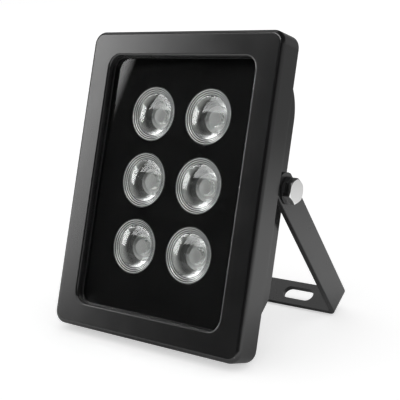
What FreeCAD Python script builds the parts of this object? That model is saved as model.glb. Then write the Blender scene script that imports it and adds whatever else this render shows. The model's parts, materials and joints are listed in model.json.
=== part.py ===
import FreeCAD, Part
import math
import os

# Infrared illuminator: a six-lens lamp head in a folded yoke bracket.
#
# All sizes are millimetres. The head is modelled in a frame of its own: X to the viewer's
# right, Y into the head from the front face, Z up along the face, origin at the centre of the
# front face. At the end everything is set down as the lamp stands: leaning back on the rear
# bottom edge of its front frame and on the lower edge of the bracket.
#
# The sizes grow outwards: lens, holder, lens grid, window, front frame, rear housing, bracket.

Vec = FreeCAD.Vector

# One lens: domed face inside stepped rings, a flange, and a cone down to the emitter
LENS_RADIUS = 12.55
LENS_RIM_WIDTH = 0.5
RING_BAND = 2.85                # outer edge of the lens to the foot of its dome
LENS_STEPS = 3                  # rings between the rim and the foot of the dome
STEP_SLOPE = 0.15
DOME_RISE = 1.65
DOME_TO_GLASS = 0.3
FLANGE_LIP = 1.05               # flange past the outer edge of the lens
FLANGE_THICKNESS = 1.5
FLANGE_GAP = 0.1                # play of the flange behind the mask
CONE_LIP = 0.25                 # top of the cone past the outer edge of the lens
CONE_FOOT_RADIUS = 4.2
CONE_BULGE = 1.2
LENS_HEIGHT = 11.2              # rim to foot
LENS_FOOT_WALL = 1.2            # wall around the well over the emitter
LENS_WELL_DEPTH = 3.0

# One lens holder
HOLDER_FIT = 0.1
HOLDER_RIM_WALL = 0.9
HOLDER_FOOT_INSET = 1.55        # foot of the holder inside the outer edge of the lens
HOLDER_BORE_GAP = 0.4           # around the foot of the lens
HOLDER_CLEARANCE = 0.5          # air between the cone of the lens and the holder
HOLDER_FLOOR = 1.8

# Lens grid
LENS_COLUMNS = 2
LENS_ROWS = 3
HOLDER_GAP_X = 2.5              # between the holders of one row
HOLDER_GAP_Z = 1.6              # between the rows

# Front frame, a die casting
WINDOW_MARGIN_SIDE = 13.25      # outer edge of the lenses to the edge of the window
WINDOW_MARGIN_TOP = 13.35
WINDOW_MARGIN_BOTTOM = 17.15
SIDE_BAR = 12.35                # face of the frame beside the window
END_BAR = 11.4                  # face of the frame above and below the window
FRAME_CORNER = 6.0
FRAME_FRONT_ROUND = 2.0
STAND_EDGE_ROUND = 0.5          # small round on the edges that the lamp stands on
RIM_WALL = 3.0                  # wall around the rear recess
RECESS_CORNER = 4.5
WINDOW_CORNER = 6.0
WINDOW_ROUND = 1.0
LEDGE_DEPTH = 3.0               # front face to the narrow ledge inside the window
LEDGE_WIDTH = 0.4
LIP_DEPTH = 3.7                 # front face to the back of the lip

# Glass, its gasket and the mask behind it
GASKET_THICKNESS = 0.5
GLASS_THICKNESS = 2.0
GLASS_OVERLAP = 3.0             # how far the glass reaches behind the lip, each side
GLASS_CORNER = 7.5
POCKET_GAP = 0.3                # between the glass and the wall of its pocket
SPACER_HEIGHT = 0.9             # rim of the mask that bears on the glass
SPACER_WIDTH = 2.2
MASK_THICKNESS = 1.5
LENS_HOLE_GAP = 0.15

# Emitter, board and heat pad
EMITTER_SIZE = 5.0
EMITTER_HEIGHT = 1.5
EMITTER_DOME_RADIUS = 1.6
BOARD_THICKNESS = 1.6
BOARD_CORNER = 2.0
BOARD_GAP = 2.1                 # foot of the lens to the board
BOARD_RIM_SIDE = 1.05           # board past the lens holders
BOARD_RIM_TOP = 1.3             # board past the feet of the upper holders
BOARD_RIM_BOTTOM = 4.1          # board past the feet of the lower holders
BOARD_SCREW_INSET = 3.5
NOTCH_CLEARANCE = 1.0           # notch in the board around the bore of the gland
PAD_THICKNESS = 0.5
PAD_INSET = 0.5

# Rear housing, a die casting
HOUSING_INSET = 6.5             # side of the housing inside the side of the frame
CROWN_INSET = 12.35             # upper end of the housing inside the top of the frame
HEEL_INSET = 11.5               # lower end of the housing inside the bottom of the frame
HOUSING_WALL = 3.0
HOUSING_FLANGE = 2.8
FLANGE_FIT = 0.15
HOUSING_SIDE_ROUND = 1.5
BACK_WALL = 5.5                 # floor of the hollow to the flat of the back
CROWN_RADIUS = 23.0
HEEL_LOWER_RISE = 8.6           # the slope at the bottom has a flatter and a steeper part
HEEL_UPPER_RISE = 7.2
HEEL_CUT = 4.6                  # knee between them, in front of the flat of the back
MASK_TO_LEDGE = 0.6             # back of the mask to the ledge under the housing gasket
HOUSING_GASKET = 0.8
HOUSING_GASKET_WIDTH = 4.2

# Cooling fins
FIN_COUNT = 11
FIN_PITCH = 7.0
FIN_THICKNESS = 2.0
FIN_RISE = 10.0                 # flat of the back to the tips
FIN_FIELD_DEPTH = 2.5           # the field between the fins lies this far inside the back
FIN_FIELD_MARGIN = 2.3          # field beside the outer fins
FIN_ABOVE_HEEL = 1.2
FIN_PAST_CROWN = 10.0           # the fins run this far up onto the curved top
FIN_SHOULDER_DROP = 9.0         # their shoulder starts this far below it
FIN_TOE_HEIGHT = 7.5
FIN_TOE_DEPTH = 4.5
FIN_ROOT = 1.0                  # sunk into the field, as part of the same casting

# Screws
FRAME_SCREW_INSET = 7.2         # from both outer sides of the frame
FRAME_SCREW_RADIUS = 1.45
FRAME_SCREW_LENGTH = 8.0
FRAME_SCREW_HEAD = 2.75
FRAME_SCREW_HEAD_HEIGHT = 1.8
SMALL_SCREW_RADIUS = 1.2
SMALL_SCREW_HEAD = 2.1
SMALL_SCREW_HEAD_HEIGHT = 1.4
BOARD_SCREW_LENGTH = 4.0
SCREW_FIT = 0.05
CLEARANCE_HOLE_GAP = 0.3
CROSS_SLOT = 0.6
HEAD_ROUND_SHARE = 0.45         # of the height of a screw head
CROSS_SHARE = 0.6               # reach of the cross in a screw head

# Driver board and what it carries
DRIVER_WIDTH = 9.0
DRIVER_THICKNESS = 1.2
DRIVER_STAND = 1.8
DRIVER_TO_WALL = 1.3
DRIVER_TO_BOSS = 5.5
DRIVER_SCREW_INSET = 2.4
DRIVER_SPACING = 1.3            # between the pieces along the board
TERMINAL_SIZE = (7.0, 6.0, 5.6)
TERMINAL_WIRE_RADIUS = 1.2
TERMINAL_WIRE_DEPTH = 3.0
TERMINAL_SPACING = 3.5
CAPACITOR_RADIUS = 2.1
CAPACITOR_HEIGHT = 5.4
CAPACITOR_SPREAD = 4.5
CHIP_SIZE = (4.0, 1.6, 5.0)
INDUCTOR_RADIUS = 3.4
INDUCTOR_WAIST = 2.7
INDUCTOR_FLANGE = 0.8
INDUCTOR_HEIGHT = 4.0

# Cable gland
GLAND_ABOVE_HEEL = 10.7
GLAND_PAD_RADIUS = 9.5
GLAND_PAD_RISE = 1.0
GLAND_THREAD_RADIUS = 6.0
GLAND_BORE = 3.2
GLAND_WASHER = 1.0
GLAND_WASHER_RADIUS = 8.2
GLAND_FLATS = 15.0
GLAND_CORNER_DROP = 1.0         # how far the corners of its hexagons are turned off
GLAND_HEX_HEIGHT = 4.0
GLAND_NECK_RADIUS = 6.2
GLAND_NECK_HEIGHT = 6.0
GLAND_SEAL_SEAT = 4.6
GLAND_SEAL_BORE = 2.6
GLAND_SEAL_FOOT = 0.6
GLAND_NUT_WALL_GAP = 0.1
GLAND_NUT_GAP = 1.2
GLAND_NUT_HEIGHT = 8.0
GLAND_NUT_ROOF = 2.0
GLAND_NUT_BORE = 3.5
GLAND_BODY_TURN = 7.0           # degrees from one corner up, where the thread comes tight
GLAND_NUT_TURN = 19.0
FIN_TO_GLAND = 2.0

# Pivot on both sides
PIVOT_RISE = 5.0
PIVOT_BOSS_RADIUS = 6.0
PIVOT_BOSS_RISE = 1.0
BOSS_END_WALL = 2.5             # casting behind the blind hole for the bolt
BOLT_RADIUS = 2.95
BOLT_RUNNING_GAP = 0.10
BOLT_FLATS = 10.0
BOLT_HEAD_HEIGHT = 4.0
BOLT_CORNER_DROP = 0.4
BOLT_THREAD_DEPTH = 12.0
BOLT_TIP_CHAMFER = 0.6
WASHER_RADIUS = 6.0
WASHER_BORE_GAP = 0.25          # around the shank of the bolt
FLAT_WASHER = 0.8
FRICTION_WASHER = 1.2
WASHER_PLAY = 0.05              # at each face of the bracket arm, so that it turns

# Folded bracket
BRACKET_SHEET = 2.5
BRACKET_ARM_WIDTH = 13.6
BRACKET_REACH = 78.8            # pivot to the outer face of the base
ARM_END_EXTRA = 1.5             # straight part of an arm past the pivot, before its round end
ARM_END_CLEARANCE = 0.7         # between the round end and the back of the frame
BRACKET_BEND = 0.5              # inner radius of the two folds
BRACKET_ANGLE = 52.4            # arms against the face, at rest
SLOT_LENGTH = 16.6
SLOT_WIDTH = 7.0
SLOT_X = 28.9
CENTRE_HOLE_RADIUS = 3.3

# For cutting and for finding edges
OVERCUT = 1.0                   # a cutting tool runs this far past the face that it cuts
SAME_PLACE = 1e-4
FULL_TURN = 360
HALF_CORNER = math.sqrt(0.5)    # sine of half a right angle, for the middle of a corner's arc
HEX_SIDES = 6

# Radii and grid that follow from the lens
DOME_RADIUS = LENS_RADIUS - RING_BAND
FLANGE_RADIUS = LENS_RADIUS + FLANGE_LIP
CONE_TOP_RADIUS = LENS_RADIUS + CONE_LIP
LENS_WELL_RADIUS = CONE_FOOT_RADIUS - LENS_FOOT_WALL
HOLDER_INSIDE = FLANGE_RADIUS + HOLDER_FIT
HOLDER_RADIUS = HOLDER_INSIDE + HOLDER_RIM_WALL
HOLDER_FOOT_RADIUS = LENS_RADIUS - HOLDER_FOOT_INSET
LENS_PITCH_X = 2 * HOLDER_RADIUS + HOLDER_GAP_X
LENS_PITCH_Z = 2 * HOLDER_RADIUS + HOLDER_GAP_Z
GRID_HALF_WIDTH = (LENS_COLUMNS - 1) / 2 * LENS_PITCH_X
GRID_HALF_HEIGHT = (LENS_ROWS - 1) / 2 * LENS_PITCH_Z
GRID_RISE = (WINDOW_MARGIN_BOTTOM - WINDOW_MARGIN_TOP) / 2

# Widths and heights of window, frame and glass
WINDOW_WIDTH = 2 * (GRID_HALF_WIDTH + LENS_RADIUS + WINDOW_MARGIN_SIDE)
WINDOW_HEIGHT = 2 * (GRID_HALF_HEIGHT + LENS_RADIUS) + WINDOW_MARGIN_TOP + WINDOW_MARGIN_BOTTOM
THROAT_WIDTH = WINDOW_WIDTH - 2 * LEDGE_WIDTH
THROAT_HEIGHT = WINDOW_HEIGHT - 2 * LEDGE_WIDTH
FRAME_WIDTH = WINDOW_WIDTH + 2 * SIDE_BAR
FRAME_HEIGHT = WINDOW_HEIGHT + 2 * END_BAR
GLASS_WIDTH = THROAT_WIDTH + 2 * GLASS_OVERLAP
GLASS_HEIGHT = THROAT_HEIGHT + 2 * GLASS_OVERLAP
RECESS_WIDTH = FRAME_WIDTH - 2 * RIM_WALL
RECESS_HEIGHT = FRAME_HEIGHT - 2 * RIM_WALL

# Depths behind the front face
GLASS_FRONT = LIP_DEPTH + GASKET_THICKNESS
GLASS_BACK = GLASS_FRONT + GLASS_THICKNESS
MASK_FRONT = GLASS_BACK + SPACER_HEIGHT
MASK_BACK = MASK_FRONT + MASK_THICKNESS
FLANGE_FRONT = MASK_BACK + FLANGE_GAP
FLANGE_BACK = FLANGE_FRONT + FLANGE_THICKNESS
LENS_FOOT = MASK_FRONT + LENS_HEIGHT
BOARD_FRONT = LENS_FOOT + BOARD_GAP
BOARD_BACK = BOARD_FRONT + BOARD_THICKNESS
SEAL_LEDGE = MASK_BACK + MASK_TO_LEDGE
FLANGE_SEAT = SEAL_LEDGE + HOUSING_GASKET
FRAME_DEPTH = FLANGE_SEAT + HOUSING_FLANGE
HOUSING_FLOOR = BOARD_BACK + PAD_THICKNESS
HOUSING_BACK = HOUSING_FLOOR + BACK_WALL
HEEL_DEPTH = HOUSING_BACK - HEEL_CUT
FIN_FIELD = HOUSING_BACK - FIN_FIELD_DEPTH
FIN_REACH = HOUSING_BACK + FIN_RISE
DRIVER_BACK = HOUSING_FLOOR - DRIVER_STAND
DRIVER_FRONT = DRIVER_BACK - DRIVER_THICKNESS

# Outline of the rear housing and places on it
HOUSING_HALF = FRAME_WIDTH / 2 - HOUSING_INSET
CROWN_CENTRE = HOUSING_BACK - CROWN_RADIUS
CROWN_END = FRAME_HEIGHT / 2 - CROWN_INSET
CROWN_START = CROWN_END - math.sqrt(CROWN_RADIUS ** 2 - (FRAME_DEPTH - CROWN_CENTRE) ** 2)
HEEL_FOOT = HEEL_INSET - FRAME_HEIGHT / 2
HEEL_KNEE = HEEL_FOOT + HEEL_LOWER_RISE
HEEL_TOP = HEEL_KNEE + HEEL_UPPER_RISE
FIN_BOTTOM = HEEL_TOP + FIN_ABOVE_HEEL
FIN_SHOULDER = CROWN_START - FIN_SHOULDER_DROP
FIN_TOP = CROWN_START + FIN_PAST_CROWN
GLAND_Z = HEEL_TOP + GLAND_ABOVE_HEEL
BOARD_WIDTH = 2 * (GRID_HALF_WIDTH + HOLDER_RADIUS + BOARD_RIM_SIDE)
BOARD_TOP = GRID_RISE + GRID_HALF_HEIGHT + HOLDER_FOOT_RADIUS + BOARD_RIM_TOP
BOARD_BOTTOM = GRID_RISE - GRID_HALF_HEIGHT - HOLDER_FOOT_RADIUS - BOARD_RIM_BOTTOM

# Places along the driver board, from its lower end: screw, terminal, capacitors, chip, choke, screw
TERMINAL_RISE = DRIVER_SCREW_INSET + SMALL_SCREW_HEAD + DRIVER_SPACING + TERMINAL_SIZE[2] / 2
CAPACITOR_RISE = TERMINAL_RISE + TERMINAL_SIZE[2] / 2 + DRIVER_SPACING + CAPACITOR_RADIUS
CHIP_RISE = CAPACITOR_RISE + CAPACITOR_RADIUS + DRIVER_SPACING + CHIP_SIZE[2] / 2
INDUCTOR_RISE = CHIP_RISE + CHIP_SIZE[2] / 2 + DRIVER_SPACING + INDUCTOR_RADIUS
UPPER_SCREW_RISE = INDUCTOR_RISE + INDUCTOR_RADIUS + DRIVER_SPACING + SMALL_SCREW_HEAD
DRIVER_LENGTH = UPPER_SCREW_RISE + DRIVER_SCREW_INSET
DRIVER_X = HOUSING_HALF - HOUSING_WALL - DRIVER_TO_WALL - DRIVER_WIDTH / 2
DRIVER_TOP = PIVOT_RISE - PIVOT_BOSS_RADIUS - DRIVER_TO_BOSS
DRIVER_BOTTOM = DRIVER_TOP - DRIVER_LENGTH

# Depths along the gland
GLAND_PAD_FACE = HOUSING_BACK + GLAND_PAD_RISE
GLAND_HEX_FROM = GLAND_PAD_FACE + GLAND_WASHER
GLAND_HEX_TO = GLAND_HEX_FROM + GLAND_HEX_HEIGHT
GLAND_NECK_TO = GLAND_HEX_TO + GLAND_NECK_HEIGHT
GLAND_NUT_FROM = GLAND_HEX_TO + GLAND_NUT_GAP
GLAND_NUT_TO = GLAND_NUT_FROM + GLAND_NUT_HEIGHT
GLAND_SEAL_FROM = GLAND_HEX_TO + GLAND_SEAL_FOOT
GLAND_SEAL_TO = GLAND_NUT_TO - GLAND_NUT_ROOF

# Places across the pivot, on the right-hand side
SIDE_FACE = HOUSING_HALF + PIVOT_BOSS_RISE
ARM_INNER = SIDE_FACE + FRICTION_WASHER + WASHER_PLAY
ARM_OUTER = ARM_INNER + BRACKET_SHEET
WASHER_FROM = ARM_OUTER + WASHER_PLAY
BOLT_SEAT = WASHER_FROM + FLAT_WASHER
BOLT_TOP = BOLT_SEAT + BOLT_HEAD_HEIGHT
BOLT_TIP = SIDE_FACE - BOLT_THREAD_DEPTH
BOSS_INSIDE = BOLT_TIP - BOSS_END_WALL
ARM_HALF = BRACKET_ARM_WIDTH / 2
PIVOT_DEPTH = FRAME_DEPTH + ARM_HALF + ARM_END_EXTRA + ARM_END_CLEARANCE


def rounded_plate(width, height, corner, depth_from, depth_to, centre_z=0.0):
    """A plate parallel to the front face, with rounded corners."""
    right = width / 2
    top = centre_z + height / 2
    bottom = centre_z - height / 2
    flat = corner * (1 - HALF_CORNER)

    def at(x, z):
        return Vec(x, depth_from, z)

    edges = [
        Part.makeLine(at(corner - right, bottom), at(right - corner, bottom)),
        Part.Arc(at(right - corner, bottom), at(right - flat, bottom + flat),
                 at(right, bottom + corner)).toShape(),
        Part.makeLine(at(right, bottom + corner), at(right, top - corner)),
        Part.Arc(at(right, top - corner), at(right - flat, top - flat),
                 at(right - corner, top)).toShape(),
        Part.makeLine(at(right - corner, top), at(corner - right, top)),
        Part.Arc(at(corner - right, top), at(flat - right, top - flat),
                 at(-right, top - corner)).toShape(),
        Part.makeLine(at(-right, top - corner), at(-right, bottom + corner)),
        Part.Arc(at(-right, bottom + corner), at(flat - right, bottom + flat),
                 at(corner - right, bottom)).toShape(),
    ]
    return Part.Face(Part.Wire(edges)).extrude(Vec(0, depth_to - depth_from, 0))


def block(x_from, x_to, y_from, y_to, z_from, z_to):
    return Part.makeBox(x_to - x_from, y_to - y_from, z_to - z_from, Vec(x_from, y_from, z_from))


def rod_y(radius, y_from, y_to, x, z):
    """A cylinder along the depth of the head."""
    return Part.makeCylinder(radius, y_to - y_from, Vec(x, y_from, z), Vec(0, 1, 0))


def rod_x(radius, x_from, x_to):
    """A cylinder on the line of the pivot."""
    return Part.makeCylinder(radius, x_to - x_from, Vec(x_from, PIVOT_DEPTH, PIVOT_RISE), Vec(1, 0, 0))


def turned(points, x=0.0, z=0.0):
    """A solid of revolution about a line along Y; points are (radius, depth)."""
    outline = Part.makePolygon([Vec(x + r, y, z) for r, y in points + points[:1]])
    return Part.Face(outline).revolve(Vec(x, 0, z), Vec(0, 1, 0), FULL_TURN)


def hexagon_bar(flats, length, corner_drop, turn_foot, turn_top):
    """A hexagonal bar from the origin along Y, one corner up, corners turned off at the ends."""
    corner = flats / math.sqrt(3)
    step = 2 * math.pi / HEX_SIDES
    corners = [Vec(corner * math.sin(k * step), 0, corner * math.cos(k * step))
               for k in range(HEX_SIDES + 1)]
    bar = Part.Face(Part.makePolygon(corners)).extrude(Vec(0, length, 0))
    rim = flats / 2
    widen = OVERCUT / (corner - rim)
    outside = corner + OVERCUT
    fall = corner_drop * (1 + widen)
    foot = [(rim, 0), (outside, fall)] if turn_foot else [(outside, 0)]
    top = [(outside, length - fall), (rim, length)] if turn_top else [(outside, length)]
    return bar.common(turned([(0, 0)] + foot + top + [(0, length)]))


def edges_at_depth(solid, depth, half_width, half_height):
    """Edges in the plane y = depth that lie within a centred rectangle."""
    found = []
    for edge in solid.Edges:
        box = edge.BoundBox
        flat = abs(box.YMin - depth) < SAME_PLACE and abs(box.YMax - depth) < SAME_PLACE
        reach = max(abs(box.XMin), abs(box.XMax))
        rise = max(abs(box.ZMin), abs(box.ZMax))
        if flat and reach < half_width + SAME_PLACE and rise < half_height + SAME_PLACE:
            found.append(edge)
    return found


def lens_places():
    """Name and centre of each place in the lens grid, top left first."""
    rows = ["upper", "middle", "lower"]
    sides = ["left", "right"]
    places = []
    for row in range(LENS_ROWS):
        for column in range(LENS_COLUMNS):
            x = column * LENS_PITCH_X - GRID_HALF_WIDTH
            z = GRID_RISE + GRID_HALF_HEIGHT - row * LENS_PITCH_Z
            places.append((rows[row] + "_" + sides[column], x, z))
    return places


def frame_screw_places():
    x = FRAME_WIDTH / 2 - FRAME_SCREW_INSET
    z = FRAME_HEIGHT / 2 - FRAME_SCREW_INSET
    return [(side * x, end * z) for side in (-1, 1) for end in (-1, 1)]


def board_screw_places():
    x = BOARD_WIDTH / 2 - BOARD_SCREW_INSET
    return [(side * x, GRID_RISE + end * LENS_PITCH_Z / 2) for side in (-1, 1) for end in (-1, 1)]


def driver_screw_places():
    return [(DRIVER_X, DRIVER_BOTTOM + DRIVER_SCREW_INSET), (DRIVER_X, DRIVER_BOTTOM + UPPER_SCREW_RISE)]


def front_frame():
    """Deep picture frame with a rounded front, a stepped window and a rear recess."""
    half_width = FRAME_WIDTH / 2
    half_height = FRAME_HEIGHT / 2
    body = rounded_plate(FRAME_WIDTH, FRAME_HEIGHT, FRAME_CORNER, 0, FRAME_DEPTH)
    body = body.makeFillet(FRAME_FRONT_ROUND, edges_at_depth(body, 0, half_width, half_height))
    back_edges = edges_at_depth(body, FRAME_DEPTH, half_width, half_height)
    body = body.makeFillet(STAND_EDGE_ROUND, back_edges)
    window = rounded_plate(WINDOW_WIDTH, WINDOW_HEIGHT, WINDOW_CORNER, -OVERCUT, LEDGE_DEPTH)
    body = body.cut(window)
    window_rim = edges_at_depth(body, 0, WINDOW_WIDTH / 2, WINDOW_HEIGHT / 2)
    body = body.makeFillet(WINDOW_ROUND, window_rim)
    throat = rounded_plate(THROAT_WIDTH, THROAT_HEIGHT, WINDOW_CORNER - LEDGE_WIDTH,
                           LEDGE_DEPTH - OVERCUT, LIP_DEPTH + OVERCUT)
    pocket = rounded_plate(GLASS_WIDTH + 2 * POCKET_GAP, GLASS_HEIGHT + 2 * POCKET_GAP,
                           GLASS_CORNER + POCKET_GAP, LIP_DEPTH, SEAL_LEDGE + OVERCUT)
    recess = rounded_plate(RECESS_WIDTH, RECESS_HEIGHT, RECESS_CORNER, SEAL_LEDGE,
                           FRAME_DEPTH + OVERCUT)
    body = body.cut(throat.fuse(pocket).fuse(recess))
    hole_end = FRAME_DEPTH - FRAME_SCREW_LENGTH - SCREW_FIT
    for x, z in frame_screw_places():
        body = body.cut(rod_y(FRAME_SCREW_RADIUS + SCREW_FIT, hole_end, FRAME_DEPTH, x, z))
    return body


def glass_gasket():
    ring = rounded_plate(GLASS_WIDTH, GLASS_HEIGHT, GLASS_CORNER, LIP_DEPTH, GLASS_FRONT)
    hole = rounded_plate(THROAT_WIDTH, THROAT_HEIGHT, WINDOW_CORNER - LEDGE_WIDTH,
                         LIP_DEPTH - OVERCUT, GLASS_FRONT + OVERCUT)
    return ring.cut(hole)


def front_glass():
    return rounded_plate(GLASS_WIDTH, GLASS_HEIGHT, GLASS_CORNER, GLASS_FRONT, GLASS_BACK)


def mask_plate():
    """Black sheet with a hole for each lens and a rim that bears on the glass."""
    plate = rounded_plate(GLASS_WIDTH, GLASS_HEIGHT, GLASS_CORNER, GLASS_BACK, MASK_BACK)
    hollow = rounded_plate(GLASS_WIDTH - 2 * SPACER_WIDTH, GLASS_HEIGHT - 2 * SPACER_WIDTH,
                           GLASS_CORNER - SPACER_WIDTH, GLASS_BACK - OVERCUT, MASK_FRONT)
    plate = plate.cut(hollow)
    for _, x, z in lens_places():
        plate = plate.cut(rod_y(LENS_RADIUS + LENS_HOLE_GAP, MASK_FRONT - OVERCUT,
                                MASK_BACK + OVERCUT, x, z))
    return plate


def lens(x, z):
    """Collimating lens: domed face, stepped ring, flange, and a cone down to the emitter."""
    apex = GLASS_BACK + DOME_TO_GLASS
    foot = apex + DOME_RISE
    step_width = (RING_BAND - LENS_RIM_WIDTH) / LENS_STEPS
    step_drop = (foot - MASK_FRONT) / LENS_STEPS

    def at(radius, depth):
        return Vec(x + radius, depth, z)

    ball = (DOME_RADIUS ** 2 + DOME_RISE ** 2) / (2 * DOME_RISE)
    middle = DOME_RADIUS / 2
    middle_depth = apex + ball - math.sqrt(ball ** 2 - middle ** 2)
    edges = [Part.Arc(at(0, apex), at(middle, middle_depth), at(DOME_RADIUS, foot)).toShape()]

    stairs = [(DOME_RADIUS, foot)]
    for step in range(LENS_STEPS):
        radius = DOME_RADIUS + (step + 1) * step_width
        depth = foot - step * step_drop
        stairs.append((radius - STEP_SLOPE, depth))
        stairs.append((radius, depth - step_drop))
    stairs += [
        (LENS_RADIUS, MASK_FRONT),
        (LENS_RADIUS, FLANGE_FRONT),
        (FLANGE_RADIUS, FLANGE_FRONT),
        (FLANGE_RADIUS, FLANGE_BACK),
        (CONE_TOP_RADIUS, FLANGE_BACK),
    ]
    edges.append(Part.makePolygon([at(r, y) for r, y in stairs]))
    cone_middle = (CONE_TOP_RADIUS + CONE_FOOT_RADIUS) / 2 + CONE_BULGE
    edges.append(Part.Arc(at(CONE_TOP_RADIUS, FLANGE_BACK),
                          at(cone_middle, (FLANGE_BACK + LENS_FOOT) / 2),
                          at(CONE_FOOT_RADIUS, LENS_FOOT)).toShape())
    well_roof = LENS_FOOT - LENS_WELL_DEPTH
    well = [(CONE_FOOT_RADIUS, LENS_FOOT), (LENS_WELL_RADIUS, LENS_FOOT),
            (LENS_WELL_RADIUS - STEP_SLOPE, well_roof), (0, well_roof), (0, apex)]
    edges.append(Part.makePolygon([at(r, y) for r, y in well]))
    outline = Part.Wire(Part.__sortEdges__([e for part in edges for e in part.Edges]))
    return Part.Face(outline).revolve(Vec(x, 0, z), Vec(0, 1, 0), FULL_TURN)


def lens_holder(x, z):
    """Cup that carries the flange of the lens and stands on the board."""
    bore = CONE_FOOT_RADIUS + HOLDER_BORE_GAP
    floor_top = max(BOARD_FRONT - HOLDER_FLOOR, LENS_FOOT)
    middle = (CONE_TOP_RADIUS + CONE_FOOT_RADIUS) / 2 + CONE_BULGE + HOLDER_CLEARANCE
    points = [
        (CONE_TOP_RADIUS + HOLDER_FIT, FLANGE_BACK),
        (HOLDER_INSIDE, FLANGE_BACK),
        (HOLDER_INSIDE, FLANGE_FRONT + HOLDER_FIT),
        (HOLDER_RADIUS, FLANGE_FRONT + HOLDER_FIT),
        (HOLDER_RADIUS, FLANGE_BACK + HOLDER_RIM_WALL),
        (HOLDER_FOOT_RADIUS, BOARD_FRONT),
        (bore, BOARD_FRONT),
        (bore, floor_top),
        (CONE_FOOT_RADIUS + 2 * HOLDER_CLEARANCE, floor_top),
        (middle, (FLANGE_BACK + LENS_FOOT) / 2 + HOLDER_CLEARANCE),
    ]
    return turned(points, x, z)


def led_emitter(x, z):
    half = EMITTER_SIZE / 2
    top = BOARD_FRONT - EMITTER_HEIGHT
    package = block(x - half, x + half, top, BOARD_FRONT, z - half, z + half)
    dome = Part.makeSphere(EMITTER_DOME_RADIUS, Vec(x, top, z))
    behind = block(x - half, x + half, top, BOARD_BACK, z - half, z + half)
    return package.fuse(dome.cut(behind)).removeSplitter()


def board_outline(inset, depth_from, depth_to):
    """Outline shared by the board and the heat pad, with the notch for the supply leads."""
    height = BOARD_TOP - BOARD_BOTTOM - 2 * inset
    middle = (BOARD_TOP + BOARD_BOTTOM) / 2
    plate = rounded_plate(BOARD_WIDTH - 2 * inset, height, BOARD_CORNER, depth_from, depth_to, middle)
    reach = GLAND_BORE + NOTCH_CLEARANCE + inset
    notch = block(-reach, reach, depth_from - OVERCUT, depth_to + OVERCUT,
                  BOARD_BOTTOM - OVERCUT, GLAND_Z + reach)
    plate = plate.cut(notch)
    for x, z in board_screw_places():
        plate = plate.cut(rod_y(SMALL_SCREW_RADIUS + CLEARANCE_HOLE_GAP, depth_from - OVERCUT,
                                depth_to + OVERCUT, x, z))
    return plate


def housing_prism(half_width, front, shrink):
    """Straight back, curved crown and sloped heel, drawn from the side and drawn out across."""
    angle = math.atan2(CROWN_END - CROWN_START, FRAME_DEPTH - CROWN_CENTRE) / 2
    crown_middle = Vec(-half_width, CROWN_CENTRE + CROWN_RADIUS * math.cos(angle),
                       CROWN_START + CROWN_RADIUS * math.sin(angle))

    def at(depth, z):
        return Vec(-half_width, depth, z)

    lines = Part.makePolygon([
        at(FRAME_DEPTH, CROWN_END),
        at(front, CROWN_END),
        at(front, HEEL_FOOT),
        at(FRAME_DEPTH, HEEL_FOOT),
        at(HEEL_DEPTH, HEEL_KNEE),
        at(HOUSING_BACK, HEEL_TOP),
        at(HOUSING_BACK, CROWN_START),
    ])
    crown = Part.Arc(at(HOUSING_BACK, CROWN_START), crown_middle, at(FRAME_DEPTH, CROWN_END)).toShape()
    face = Part.Face(Part.Wire(Part.__sortEdges__(lines.Edges + [crown])))
    if shrink:
        face = Part.Face(face.OuterWire.makeOffset2D(-shrink))
    return face.extrude(Vec(2 * half_width, 0, 0))


def flange_plate(inset, corner, depth_from, depth_to):
    """Outline of the housing's flange, which lies in the rear recess of the frame."""
    return rounded_plate(RECESS_WIDTH - 2 * FLANGE_FIT - 2 * inset,
                         RECESS_HEIGHT - 2 * FLANGE_FIT - 2 * inset, corner, depth_from, depth_to)


def one_fin(x):
    """A fin with a sloped toe at the bottom and a curved shoulder at the top."""
    root = FIN_FIELD - FIN_ROOT
    height = FIN_REACH - root
    run = FIN_TOP - FIN_SHOULDER
    radius = (height ** 2 + run ** 2) / (2 * height)
    centre = FIN_REACH - radius
    angle = math.atan2(run, root - centre) / 2

    def at(depth, z):
        return Vec(x - FIN_THICKNESS / 2, depth, z)

    straight = Part.makePolygon([
        at(root, FIN_TOP),
        at(root, FIN_BOTTOM),
        at(FIN_REACH - FIN_TOE_DEPTH, FIN_BOTTOM),
        at(FIN_REACH, FIN_BOTTOM + FIN_TOE_HEIGHT),
        at(FIN_REACH, FIN_SHOULDER),
    ])
    bow = at(centre + radius * math.cos(angle), FIN_SHOULDER + radius * math.sin(angle))
    shoulder = Part.Arc(at(FIN_REACH, FIN_SHOULDER), bow, at(root, FIN_TOP)).toShape()
    face = Part.Face(Part.Wire(Part.__sortEdges__(straight.Edges + [shoulder])))
    return face.extrude(Vec(FIN_THICKNESS, 0, 0))


def finned_back(body):
    """Sets in the field behind the board, and adds the fins and the pad of the gland."""
    fin_span = (FIN_COUNT - 1) / 2 * FIN_PITCH
    half = fin_span + FIN_THICKNESS / 2 + FIN_FIELD_MARGIN
    past_fins = FIN_REACH + OVERCUT
    body = body.cut(block(-half, half, FIN_FIELD, past_fins, FIN_BOTTOM, FIN_TOP))
    for k in range(FIN_COUNT):
        body = body.fuse(one_fin(k * FIN_PITCH - fin_span))
    body = body.cut(rod_y(GLAND_PAD_RADIUS + FIN_TO_GLAND, FIN_FIELD, past_fins, 0, GLAND_Z))
    return body.fuse(rod_y(GLAND_PAD_RADIUS, FIN_FIELD - FIN_ROOT, GLAND_PAD_FACE, 0, GLAND_Z))


def pivot_bosses(body):
    """Adds the boss on each side and its blind hole for the bolt."""
    for side in (-1, 1):
        body = body.fuse(on_side(rod_x(PIVOT_BOSS_RADIUS, BOSS_INSIDE, SIDE_FACE), side))
        hole = rod_x(BOLT_RADIUS + SCREW_FIT, BOLT_TIP - SCREW_FIT, SIDE_FACE + OVERCUT)
        body = body.cut(on_side(hole, side))
    return body


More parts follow.
